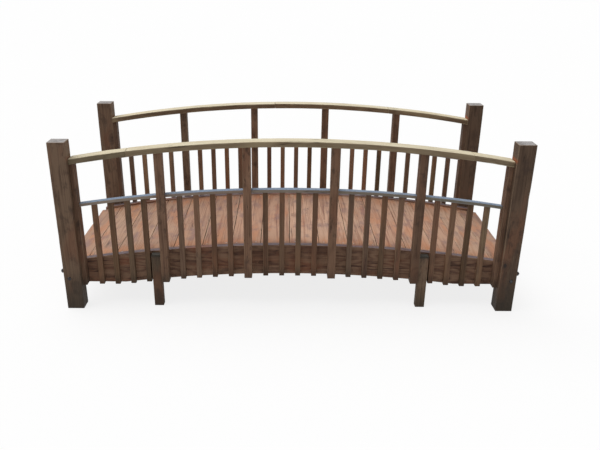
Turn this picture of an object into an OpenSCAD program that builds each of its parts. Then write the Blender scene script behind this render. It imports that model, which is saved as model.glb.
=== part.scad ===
// Moon bridge: an arched timber garden bridge with a railing on each side.
// X runs along the walk, Y across it with the front at -Y, Z up; the ground is z = 0.

/* [Overall] */
// Length over the outer faces of the corner posts
bridge_l = 2410; // [2000:10:2800]
// Width over the outer faces of the corner posts
bridge_w = 1168; // [900:2:1500]
// Radius of the beams' top edge and of the mid rail
arch_r = 7350; // [6000:50:12000]

/* [Corner posts] */
// Side of the square corner posts
post_s = 89; // [75:1:140]
// Height of the corner posts
post_h = 900; // [850:5:1200]

/* [Arch beams] */
// Thickness of the sawn beams
beam_t = 38; // [25:1:60]
// Height of the beams' top edge at mid-span
beam_crown_z = 340; // [310:1:420]
// Depth of the beams at mid-span
beam_d = 163; // [120:1:190]
// Height of the level seats at the ends of the beams' lower edge
beam_seat_z = 121; // [60:1:140]
// Radius of the beams' belly
belly_r = 7150; // [5000:50:9000]

/* [Deck] */
// Radius of the walking curve along the top of the planks
deck_r = 6600; // [5500:50:9000]
// Width of a full deck plank
plank_w = 155; // [90:0.5:200]
// Thickness of the deck planks
plank_t = 25; // [19:1:40]
// Gap between neighbouring planks
plank_gap = 3; // [1:0.5:12]
// Narrowest end plank that is still laid
end_plank_min = 60; // [40:1:80]
// Clearance between a plank's end and the beam
plank_end_gap = 1; // [0.5:0.5:6]
// Depth of the deck surface below the beams' top edge at mid-span
deck_recess = 3; // [1:1:40]
// How far the end planks reach past the beams' ends
deck_overhang = 22; // [0:1:40]
// Width of the ledger strips that carry the planks
ledger_w = 38; // [25:1:60]
// Depth of the ledger strips
ledger_d = 38; // [25:1:60]
// Distance of the ledgers' ends from the beams' ends
ledger_inset = 20; // [0:1:60]

/* [Railing] */
// Radius of the curve along the top rail's upper face
rail_r = 6650; // [5000:50:12000]
// Number of bays between the stiles
bay_count = 5; // [3:1:7]
// Width of the rail posts along the bridge
rail_post_w = 41; // [25:1:60]
// Depth of the rail posts and stiles from the beam's face
rail_post_d = 57; // [45:1:75]
// Width of the stiles beside the corner posts
stile_w = 23; // [15:1:60]
// Height of the stiles' feet above the beams' seats
stile_lift = 4; // [0:1:20]
// How far the rail posts reach below the beam
post_drop = 2; // [0:1:20]
// Height of the top rail's upper face at mid-span
top_rail_z = 906; // [850:1:1100]
// Width of the top rail
top_rail_w = 80; // [60:1:110]
// Thickness of the top rail
top_rail_t = 28; // [19:1:45]
// Height of the mid rail's upper face at mid-span
mid_rail_z = 655; // [600:1:720]
// Width of the mid rail
mid_rail_w = 38; // [30:1:45]
// Thickness of the mid rail
mid_rail_t = 16; // [12:1:30]
// Number of balusters in a bay
baluster_count = 4; // [2:1:6]
// Side of the square balusters
baluster_s = 27; // [16:1:35]
// How far the balusters reach below the beam
baluster_drop = 2; // [0:1:20]

/* [Support legs] */
// Width of the support legs along the bridge
leg_w = 50; // [30:1:60]
// Depth of the support legs from the beam's face
leg_d = 43; // [30:1:57]
// Least clearance between a leg and the next baluster
leg_clear = 5; // [3:0.5:9]
// Distance of a leg's top below the beam's top edge
leg_top_drop = 8; // [0:1:40]

/* [Fits] */
// Clearance where a piece is cut to meet a curve or fills a bay
fit_gap = 0.2; // [0.1:0.1:0.5]

/* [Hidden] */
$fn = 720;
ENDS = ["left", "right"];
SIDES = ["front", "back"];
DECK_PARTS = ["left", "middle", "right"];
TIMBER = [0.33, 0.24, 0.19];
DECK_TIMBER = [0.66, 0.52, 0.41];
RAIL_TIMBER = [0.78, 0.70, 0.55];

// Planes that the pieces share, on the front side, measured from the middle of the walk
half_l = bridge_l / 2;
beam_face_y = bridge_w / 2 - post_s;
beam_inner_y = beam_face_y - beam_t;
post_inner_x = half_l - post_s;

// The railing: equal bays between the stiles, and equal gaps between the balusters of a bay,
// but in an end bay the gap beside the support leg is never narrower than the leg needs
bay_clear = (2 * (post_inner_x - stile_w) - (bay_count - 1) * rail_post_w) / bay_count;
baluster_gap = (bay_clear - baluster_count * baluster_s) / (baluster_count + 1);
leg_gap = max(baluster_gap, leg_w + leg_clear);
end_bay_gap = (bay_clear - baluster_count * baluster_s - leg_gap) / baluster_count;
top_rail_y = beam_face_y + rail_post_d / 2 - top_rail_w / 2;

// The deck, laid along a curve that falls away from the beams' top edge towards the ends
deck_axis_z = beam_crown_z - deck_recess - deck_r;
ledger_top_r = deck_r - plank_t - fit_gap;
plank_pitch = plank_w + plank_gap;
deck_half = deck_r * asin((half_l + deck_overhang - fit_gap) / deck_r) * PI / 180;
side_planks = floor((deck_half - plank_gap / 2 - end_plank_min) / plank_pitch);
end_plank_from = side_planks * plank_pitch + plank_gap / 2;
end_plank_w = deck_half - end_plank_from;
middle_planks = floor(side_planks / 3);
last_plank = side_planks + 1;

// Fall of a curve of radius r below its crown, at a distance x from mid-span
function fall(r, x) = r - sqrt(r * r - x * x);
// Height of the beam's top and lower edges at x
function beam_top_z(x) = beam_crown_z - fall(arch_r, x);
function beam_low_z(x) = max(beam_seat_z, beam_crown_z - beam_d - fall(belly_r, x));
// Left edge of bay k, counted from 1 at the left end
function bay_x(k) = -post_inner_x + stile_w + (k - 1) * (bay_clear + rail_post_w);

// Puts a piece drawn on the back side, at +Y, on the named side
module on_side(s) {
    mirror([0, s == "front" ? 1 : 0, 0]) children();
}

// Puts a piece drawn at the right end, at +X, at the named end
module at_end(e) {
    mirror([e == "left" ? 1 : 0, 0, 0]) children();
}

// Thickens an outline drawn in X and Z from the plane y across a width w
module across(y, w) {
    translate([0, y + w, 0])
        rotate([90, 0, 0])
            linear_extrude(height = w)
                children();
}

// Upright rectangle from x0 to x1 and z0 to z1
module panel(x0, x1, z0, z1) {
    translate([x0, z0])
        square([x1 - x0, z1 - z0]);
}

// Everything below a curve of radius r whose crown is at z
module below_curve(z, r) {
    translate([0, z - r])
        circle(r = r);
}

// Arched strip of thickness t between x0 and x1, with the crown of its top curve at z
module arched_strip(x0, x1, z, r, t) {
    intersection() {
        difference() {
            below_curve(z, r);
            below_curve(z - t, r - t);
        }
        panel(x0, x1, z - r / 2, z + t);
    }
}

// Outline of an upright of width w at x, from z0 up to the underside of an arched rail of radius r
module cut_upright(x, w, z0, rail_z, r, rail_t) {
    under = rail_t + fit_gap;
    intersection() {
        panel(x - w / 2, x + w / 2, z0, rail_z);
        below_curve(rail_z - under, r - under);
    }
}

// Square corner post
module corner_post() {
    color(TIMBER)
        translate([post_inner_x, beam_face_y, 0])
            cube([post_s, post_s, post_h]);
}

// Stile on the beam's outer face beside a corner post, under the top rail
module rail_stile() {
    x = post_inner_x - stile_w / 2;
    color(TIMBER)
        across(beam_face_y, rail_post_d)
            cut_upright(x, stile_w, beam_seat_z + stile_lift, top_rail_z, rail_r, top_rail_t);
}

// Rail post after bay k, on the beam's outer face and under the top rail
module rail_post(k) {
    x = bay_x(k + 1) - rail_post_w / 2;
    color(TIMBER)
        across(beam_face_y, rail_post_d)
            cut_upright(x, rail_post_w, beam_low_z(x) - post_drop, top_rail_z, rail_r, top_rail_t);
}

// Top rail, between the corner posts and centred over the uprights
module top_rail() {
    reach = post_inner_x - fit_gap;
    color(RAIL_TIMBER)
        across(top_rail_y, top_rail_w)
            arched_strip(-reach, reach, top_rail_z, rail_r, top_rail_t);
}

// Mid rail, one arched length in each bay, sawn to the beams' curve
module mid_rail() {
    color(TIMBER)
        across(beam_face_y, mid_rail_w)
            for (k = [1 : bay_count]) {
                x = bay_x(k) + fit_gap;
                arched_strip(x, x + bay_clear - 2 * fit_gap, mid_rail_z, arch_r, mid_rail_t);
            }
}

// Balusters of bay k, on the beam's outer face and under the mid rail
module balusters(k) {
    gap = k == 1 || k == bay_count ? end_bay_gap : baluster_gap;
    from = bay_x(k) + (k == bay_count ? leg_gap - gap : 0);
    color(TIMBER)
        across(beam_face_y, baluster_s)
            for (j = [1 : baluster_count]) {
                x = from + j * (gap + baluster_s) - baluster_s / 2;
                cut_upright(x, baluster_s, beam_low_z(x) - baluster_drop, mid_rail_z, arch_r, mid_rail_t);
            }
}

// Sawn beam: curved top edge, curved belly and level seats at both ends
module arch_beam() {
    color(TIMBER)
        across(beam_inner_y, beam_t)
            difference() {
                intersection() {
                    panel(-half_l, half_l, beam_seat_z, beam_crown_z);
                    below_curve(beam_crown_z, arch_r);
                }
                below_curve(beam_crown_z - beam_d, belly_r);
            }
}

// Flat plank of width w that touches the deck curve at the distance s from mid-span
module plank(s, w) {
    reach = beam_inner_y - plank_end_gap;
    translate([0, 0, deck_axis_z])
        rotate([0, s / deck_r * 180 / PI, 0])
            translate([-w / 2, -reach, deck_r - plank_t])
                cube([w, 2 * reach, plank_t]);
}

// Planks from number a to number b on one side of mid-span, where the last one is the narrow end plank
module plank_row(a, b) {
    for (k = [a : b])
        if (k == last_plank)
            plank(end_plank_from + end_plank_w / 2, end_plank_w);
        else
            plank((k - 0.5) * plank_pitch, plank_w);
}

// Deck planks of the left, middle or right part of the walk
module deck_planks(d) {
    color(DECK_TIMBER)
        if (d == "middle") {
            for (e = ENDS)
                at_end(e) plank_row(1, middle_planks);
        }
        else
            at_end(d) plank_row(middle_planks + 1, last_plank);
}

// Arched ledger strip under the planks, on the beam's inner face
module deck_ledger() {
    reach = half_l - ledger_inset;
    color(TIMBER)
        across(beam_inner_y - ledger_w, ledger_w)
            arched_strip(-reach, reach, deck_axis_z + ledger_top_r, ledger_top_r, ledger_d);
}

// Square leg on the beam's outer face, beside the last rail post
module support_leg() {
    x = bay_x(bay_count) + fit_gap;
    color(TIMBER)
        translate([x, beam_face_y, 0])
            cube([leg_w, leg_d, beam_top_z(x + leg_w) - leg_top_drop]);
}

for (s = SIDES) {
    for (e = ENDS) {
        on_side(s) at_end(e) corner_post();
        on_side(s) at_end(e) rail_stile();
        on_side(s) at_end(e) support_leg();
    }
    for (k = [1 : bay_count - 1])
        on_side(s) rail_post(k);
    for (k = [1 : bay_count])
        on_side(s) balusters(k);
    on_side(s) top_rail();
    on_side(s) mid_rail();
    on_side(s) arch_beam();
    on_side(s) deck_ledger();
}
for (d = DECK_PARTS)
    deck_planks(d);
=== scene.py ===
"""Moon bridge in weathered timber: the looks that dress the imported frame.

Lengths are in metres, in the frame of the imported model: X runs along the walk,
the front is at -Y, Z is up and the ground is z = 0.
"""

import logging
import math
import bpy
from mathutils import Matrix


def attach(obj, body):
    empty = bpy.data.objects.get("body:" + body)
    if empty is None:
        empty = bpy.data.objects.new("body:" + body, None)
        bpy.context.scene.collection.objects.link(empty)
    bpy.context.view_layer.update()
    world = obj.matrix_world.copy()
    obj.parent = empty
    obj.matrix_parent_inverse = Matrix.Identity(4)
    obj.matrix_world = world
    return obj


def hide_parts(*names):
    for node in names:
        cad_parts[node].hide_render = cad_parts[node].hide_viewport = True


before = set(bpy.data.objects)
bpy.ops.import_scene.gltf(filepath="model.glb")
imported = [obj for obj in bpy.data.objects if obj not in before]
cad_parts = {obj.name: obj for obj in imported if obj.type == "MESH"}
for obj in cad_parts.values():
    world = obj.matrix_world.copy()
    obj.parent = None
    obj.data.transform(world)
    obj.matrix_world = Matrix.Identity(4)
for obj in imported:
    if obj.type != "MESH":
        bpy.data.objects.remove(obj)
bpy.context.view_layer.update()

import zlib
from dataclasses import dataclass, field
from enum import Enum
from itertools import product
from typing import Callable, Union

import bmesh
import bpy
import numpy as np
from mathutils import Matrix, Vector, noise

LOG = logging.getLogger("moon_bridge")

MM = 0.001
WHITE = (1.0, 1.0, 1.0, 1.0)

# Steps in the arc of an eased edge, the distance of the loop that backs it, and the signs of the four corners
ARC_STEPS = 3
SUPPORT = 1.6 * MM
CORNERS = ((1, 1), (-1, 1), (-1, -1), (1, -1))
# Waver, dents and limits of the eased edges
ARRIS_WAVER = 0.45
ARRIS_PITCH = 0.11
ARRIS_LEAST = 0.4 * MM
ARRIS_MOST_SHARE = 0.3
RADIUS_LEAST = 0.25 * MM
DENT_SHARE = (0.2, 1.0)
DENT_REACH = (0.008, 0.03)
# Drying checks in the end grain
CHECK_REACH = (0.35, 0.95)
CHECK_FADE = 0.25
CHECK_HALF_W = 1.6 * MM
CHECK_DEPTH = 3.5 * MM
CAP_CORE = 0.6
# Level of a cupped face, place along the trunk, spread of the pith, and its height in a sawn curve
CUP_LEVEL = 0.4
TRUNK = (0, 60)
PITH_SPREAD = (0.6, 1.3)
SAWN_PITH_Z = 0.25
# Gain and row of the noise that makes wavers
WAVER_GAIN = 1.6
WAVER_ROW = 0.37
# Pitch of the ring texture at a scale of 1
RING_TEXTURE_PITCH = 0.314

Array = np.ndarray
Material = bpy.types.Material
Socket = bpy.types.NodeSocket
Rgb = tuple[int, int, int]
Triple = tuple[float, float, float]
Tone = Triple
Span = tuple[float, float]
Value = Union[Socket, float, tuple]
Curve = Callable[[Array], Array]
Placer = Callable[[Array, Array, Array], Array]
Mask = Callable[[Array], Array]


class Side(Enum):
    """Long side of the bridge."""

    FRONT = "front"
    BACK = "back"

    @property
    def sign(self) -> int:
        """Direction of the side along Y."""
        return -1 if self is Side.FRONT else 1


class End(Enum):
    """End of the walk."""

    LEFT = "left"
    RIGHT = "right"

    @property
    def sign(self) -> int:
        """Direction of the end along X."""
        return -1 if self is End.LEFT else 1


class Slot(Enum):
    """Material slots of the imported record."""

    POST = "post_timber"
    BEAM = "beam_timber"
    DECK = "deck_timber"
    RAIL = "rail_timber"
    MID_RAIL = "mid_rail_timber"
    BALUSTER = "baluster_timber"
    STEEL = "bolt_steel"


def linear(colour: Rgb) -> tuple[float, float, float, float]:
    """Turn an sRGB colour of 0 to 255 into linear light.

    Args:
        colour: Red, green and blue from 0 to 255.

    Returns:
        Linear red, green, blue and an alpha of one.
    """
    parts = []
    for level in colour:
        c = level / 255
        parts.append(c / 12.92 if c <= 0.04045 else ((c + 0.055) / 1.055) ** 2.4)
    return (*parts, 1.0)


def chance(name: str) -> np.random.Generator:
    """Give a repeatable source of random numbers.

    Args:
        name: Words that set the numbers.

    Returns:
        A generator seeded by the words.
    """
    return np.random.default_rng(zlib.crc32(name.encode()))


def waver(values: Array, pitch: float, seed: float) -> Array:
    """Smooth wavering numbers along a line.

    Args:
        values: Places along the line.
        pitch: Length of one waver.
        seed: Number that sets the pattern.

    Returns:
        Numbers of about -1 to 1, one for each place.
    """
    return np.array([noise.noise(Vector((x / pitch, seed, WAVER_ROW))) * WAVER_GAIN for x in values])


def smooth(values: Array, low: float, high: float) -> Array:
    """Smooth step from 0 at low to 1 at high.

    Args:
        values: Numbers to step.
        low: Value that gives 0.
        high: Value that gives 1.

    Returns:
        The stepped numbers.
    """
    t = np.clip((values - low) / (high - low), 0, 1)
    return t * t * (3 - 2 * t)


@dataclass(frozen=True)
class Layout:
    """Sizes that the sub-assemblies share, as the solids have them."""

    half_l: float = 1.205
    half_w: float = 0.584
    post_s: float = 0.089
    post_h: float = 0.900
    arch_r: float = 7.350
    belly_r: float = 7.150
    rail_r: float = 6.650
    deck_r: float = 6.600
    deck_recess: float = 0.003
    plank_t: float = 0.025
    beam_t: float = 0.038
    beam_crown_z: float = 0.340
    beam_d: float = 0.163
    beam_seat_z: float = 0.121
    stile_w: float = 0.023
    rail_post_w: float = 0.041
    rail_post_d: float = 0.057
    bays: int = 5
    fit_gap: float = 0.0002

    @property
    def beam_face_y(self) -> float:
        """Distance of the beams' outer faces from the middle of the walk."""
        return self.half_w - self.post_s

    @property
    def beam_inner_y(self) -> float:
        """Distance of the beams' inner faces from the middle of the walk."""
        return self.beam_face_y - self.beam_t

    @property
    def post_inner_x(self) -> float:
        """Distance of the corner posts' inner faces from mid-span."""
        return self.half_l - self.post_s

    @property
    def bay_clear(self) -> float:
        """Clear width of one bay of the railing."""
        clear = 2 * (self.post_inner_x - self.stile_w)
        return (clear - (self.bays - 1) * self.rail_post_w) / self.bays

    def bay_x(self, k: int) -> float:
        """Left edge of bay k, counted from 1 at the left end."""
        return self.stile_w - self.post_inner_x + (k - 1) * (self.bay_clear + self.rail_post_w)

    def beam_top(self, x: Array) -> Array:
        """Height of the beams' top edge at x."""
        return self.beam_crown_z - self.arch_r + np.sqrt(self.arch_r**2 - x * x)

    def beam_low(self, x: Array) -> Array:
        """Height of the beams' lower edge at x."""
        belly = self.beam_crown_z - self.beam_d - self.belly_r + np.sqrt(self.belly_r**2 - x * x)
        return np.maximum(self.beam_seat_z, belly)

    @property
    def deck_crown_z(self) -> float:
        """Height of the planks' upper faces at mid-span."""
        return self.beam_crown_z - self.deck_recess

    @property
    def seat_x(self) -> float:
        """Distance from mid-span at which the belly meets the level seats."""
        drop = self.beam_crown_z - self.beam_d - self.beam_seat_z
        return math.sqrt(self.belly_r**2 - (self.belly_r - drop) ** 2)


LAYOUT = Layout()


@dataclass
class Cut:
    """Points and faces of one timber in its own frame: s along, u across, v through it."""

    s: Array
    u: Array
    v: Array
    edge: Array
    end: Array
    faces: list[tuple[int, ...]]


@dataclass
class Timber:
    """A sawn timber with eased arrises, small dents and a little warp."""

    length: float
    width: float
    depth: float
    arris: float = 1.8 * MM
    step: float = 0.03
    across: float = 0.022
    breaks: tuple[float, ...] = ()
    cap_rings: int = 0
    checks: int = 0
    dents: int = 2
    bow: float = 0.0
    cup: float = 0.0
    twist: float = 0.0

    def stations(self) -> tuple[Array, Array]:
        """Places of the sections along the timber.

        Returns:
            The places, and how far each section is drawn in at the eased ends.
        """
        angles = np.linspace(0, math.pi / 2, ARC_STEPS + 1)
        ease = self.arris
        start = ease * (1 - np.cos(angles))
        drawn = ease * (1 - np.sin(angles))
        count = max(2, int(round((self.length - 2 * ease) / self.step)))
        inner = np.linspace(ease, self.length - ease, count + 1)[1:-1]
        lead = ease + SUPPORT
        inner = np.concatenate(([lead], inner, [self.length - lead], self.breaks))
        inner = np.unique(np.round(inner, 6))
        places = np.concatenate((start, inner, self.length - start[::-1]))
        inset = np.concatenate((drawn, np.zeros(len(inner)), drawn[::-1]))
        return places, inset

    def arrises(self, s: Array, rng: np.random.Generator) -> Array:
        """Radius of the four long edges at each section, uneven and dented.

        Args:
            s: Places of the sections.
            rng: Source of random numbers.

        Returns:
            Radii with one row for each section.
        """
        radii = np.empty((len(s), 4))
        for c in range(4):
            radii[:, c] = self.arris * (1 + ARRIS_WAVER * waver(s, ARRIS_PITCH, rng.uniform(0, 99)))
            for _ in range(self.dents):
                at, size = rng.uniform(0, self.length), rng.uniform(*DENT_SHARE) * self.arris
                reach = rng.uniform(*DENT_REACH)
                radii[:, c] += size * np.exp(-(((s - at) / reach) ** 2))
        return np.clip(radii, ARRIS_LEAST, ARRIS_MOST_SHARE * min(self.width, self.depth))

    def cut(self, rng: np.random.Generator) -> Cut:
        """Make the timber's points and faces.

        Args:
            rng: Source of random numbers.

        Returns:
            The timber in its own frame.
        """
        s, inset = self.stations()
        radii = np.maximum(self.arrises(s, rng) - inset[:, None], RADIUS_LEAST)
        half = (self.width / 2 - inset, self.depth / 2 - inset)
        ring_u, ring_v, ring_edge = [], [], []
        for c, (su, sv) in enumerate(CORNERS):
            r = radii[:, c]
            for a in np.radians(90 * c + np.linspace(0, 90, ARC_STEPS + 1)):
                ring_u.append(su * (half[0] - r) + r * math.cos(a))
                ring_v.append(sv * (half[1] - r) + r * math.sin(a))
                ring_edge.append(1.0)
            nu, nv = CORNERS[(c + 1) % 4]
            r2 = radii[:, (c + 1) % 4]
            turn = math.radians(90 * (c + 1))
            to_u = nu * (half[0] - r2) + r2 * math.cos(turn)
            to_v = nv * (half[1] - r2) + r2 * math.sin(turn)
            from_u, from_v = ring_u[-1], ring_v[-1]
            span = self.depth if c % 2 else self.width
            inside = np.linspace(0, 1, max(1, int(span / self.across)) + 1)[1:-1]
            lead = SUPPORT / span
            for f in np.concatenate(([lead], inside, [1 - lead])):
                ring_u.append(from_u + f * (to_u - from_u))
                ring_v.append(from_v + f * (to_v - from_v))
                ring_edge.append(0.0)
        u, v = np.stack(ring_u, 1), np.stack(ring_v, 1)
        n, m = u.shape
        edge = np.tile(np.array(ring_edge), (n, 1))
        edge[inset > 0] = 1
        end = np.zeros((n, m))
        end[0] = end[-1] = 1
        places = np.repeat(s[:, None], m, axis=1)
        index = np.arange(n * m).reshape(n, m)
        faces = []
        for i in range(n - 1):
            a, b = index[i], index[i + 1]
            faces += [(a[j], a[(j + 1) % m], b[(j + 1) % m], b[j]) for j in range(m)]
        parts = [places.ravel(), u.ravel(), v.ravel(), edge.ravel(), end.ravel()]
        if self.cap_rings:
            parts, faces = self.checked_caps(parts, faces, index, rng)
        else:
            faces += [tuple(index[0][::-1]), tuple(index[-1])]
        return self.warp(Cut(*parts, faces))

    def checked_caps(
        self, parts: list[Array], faces: list, index: Array, rng: np.random.Generator
    ) -> tuple[list[Array], list]:
        """Close both ends with rings that dip into drying checks.

        Args:
            parts: Places, u, v, edge and end of the points so far.
            faces: Faces so far.
            index: Point numbers by section.
            rng: Source of random numbers.

        Returns:
            The parts and faces with the two ends added.
        """
        m = index.shape[1]
        turns = rng.uniform(0, 2 * math.pi, self.checks)
        reach = rng.uniform(*CHECK_REACH, self.checks)
        for row, inward in ((index[0], 1), (index[-1], -1)):
            base = parts[0][row[0]]
            rim_u, rim_v = parts[1][row], parts[2][row]
            bearing = np.arctan2(rim_v, rim_u)
            last = row
            for k in range(1, self.cap_rings + 1):
                share = 1 - k / (self.cap_rings + CAP_CORE)
                dip = np.zeros(m)
                for turn, far in zip(turns, reach):
                    off = np.abs(np.angle(np.exp(1j * (bearing - turn)))) * share * self.width / 2
                    fade = smooth(np.array([share]), far, far - CHECK_FADE)[0]
                    dip = np.maximum(dip, fade * np.clip(1 - off / CHECK_HALF_W, 0, 1))
                first = len(parts[0])
                ring = (
                    base + inward * (dip * CHECK_DEPTH),
                    rim_u * share, rim_v * share, np.zeros(m), np.ones(m),
                )
                parts = [np.concatenate((p, q)) for p, q in zip(parts, ring)]
                here = np.arange(first, first + m)
                faces += [(last[j], last[(j + 1) % m], here[(j + 1) % m], here[j]) for j in range(m)]
                last = here
            faces.append(tuple(last))
        return parts, faces

    def warp(self, cut: Cut) -> Cut:
        """Bow, cup and twist the timber a little.

        Args:
            cut: The straight timber.

        Returns:
            The same timber, warped.
        """
        t = cut.s / self.length
        cut.v = cut.v + self.bow * np.sin(math.pi * t)
        cut.v = cut.v + self.cup * ((2 * cut.u / self.width) ** 2 - CUP_LEVEL)
        turn = self.twist * (t - 0.5)
        cut.u, cut.v = (
            cut.u * np.cos(turn) - cut.v * np.sin(turn),
            cut.u * np.sin(turn) + cut.v * np.cos(turn),
        )
        return cut


@dataclass
class Draft:
    """Points, faces and surface values of the timbers that make one piece."""

    name: str
    points: list[Array] = field(default_factory=list)
    faces: list[tuple[int, ...]] = field(default_factory=list)
    grain: list[Array] = field(default_factory=list)
    tone: list[Array] = field(default_factory=list)
    wear: list[Array] = field(default_factory=list)
    count: int = 0

    def timber(
        self,
        timber: Timber,
        label: str,
        place: Placer,
        pith: Span = (0.02, 0.05),
        tone: Tone | None = None,
        dirt: Mask | None = None,
        rust: Mask | None = None,
        sawn: bool = False,
    ) -> None:
        """Add one timber.

        Args:
            timber: The timber to cut.
            label: Words that set its random numbers.
            place: Takes s, u and v to places in the frame.
            pith: Offset of the tree's middle from the timber's middle, in u and v.
            tone: Shade, warmth and greyness from 0 to 1, or None for random ones.
            dirt: Gives the darkening at places in the frame: earth on the feet, and painted shade at the
                plank ends and on the legs' flat tops.
            rust: Gives the orange stain at places in the frame.
            sawn: True if the grain stays straight in the frame while the timber is cut to a curve.
        """
        rng = chance(label)
        cut = timber.cut(rng)
        at = place(cut.s, cut.u, cut.v)
        along = rng.uniform(*TRUNK)
        pith = (pith[0] * rng.uniform(*PITH_SPREAD), pith[1] * rng.uniform(*PITH_SPREAD))
        if sawn:
            grain = np.stack((at[:, 0] + along, at[:, 2] - SAWN_PITH_Z + pith[0], cut.v + pith[1]), 1)
        else:
            grain = np.stack((cut.s + along, cut.u + pith[0], cut.v + pith[1]), 1)
        shade = tuple(rng.uniform(0, 1, 3)) if tone is None else tone
        soil = dirt(at) if dirt else np.zeros(len(at))
        stain = rust(at) if rust else np.zeros(len(at))
        self.points.append(at)
        self.grain.append(grain)
        self.tone.append(np.tile(np.array(shade), (len(at), 1)))
        # Per point: rubbed edge, end grain, darkening of earth and painted shade, and orange stain
        self.wear.append(np.stack((cut.edge, cut.end, soil, stain), 1))
        self.faces += [tuple(int(i) + self.count for i in f) for f in cut.faces]
        self.count += len(at)

    def piece(self, material: Material) -> bpy.types.Object:
        """Make the Blender object.

        Args:
            material: Finish of the piece.

        Returns:
            The object, linked to the scene.
        """
        mesh = bpy.data.meshes.new(self.name)
        mesh.from_pydata(np.concatenate(self.points).tolist(), [], self.faces)
        for label, kind, slot, rows in (
            ("grain", "FLOAT_VECTOR", "vector", self.grain),
            ("tone", "FLOAT_VECTOR", "vector", self.tone),
            ("wear", "FLOAT_COLOR", "color", self.wear),
        ):
            layer = mesh.attributes.new(label, kind, "POINT")
            layer.data.foreach_set(slot, np.concatenate(rows).astype(np.float32).ravel())
        return finish_mesh(mesh, material)


def finish_mesh(mesh: bpy.types.Mesh, material: Material) -> bpy.types.Object:
    """Turn the faces outward, smooth them and link the object.

    Args:
        mesh: The mesh of the piece.
        material: Finish of the piece.

    Returns:
        The new object.
    """
    shell = bmesh.new()
    shell.from_mesh(mesh)
    bmesh.ops.recalc_face_normals(shell, faces=shell.faces)
    shell.to_mesh(mesh)
    shell.free()
    mesh.materials.append(material)
    mesh.shade_smooth()
    thing = bpy.data.objects.new(mesh.name, mesh)
    bpy.context.scene.collection.objects.link(thing)
    return thing


def mount(thing: bpy.types.Object, slot: Slot, *nodes: str) -> None:
    """Let a piece ride on the bridge and stand for its solids.

    Args:
        thing: The piece.
        slot: Material slot that its finish belongs to; not used.
        *nodes: Solids that it stands for.
    """
    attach(thing, "root")
    if nodes:
        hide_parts(*nodes)
    LOG.info("%s: %d faces", thing.name, len(thing.data.polygons))


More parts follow.
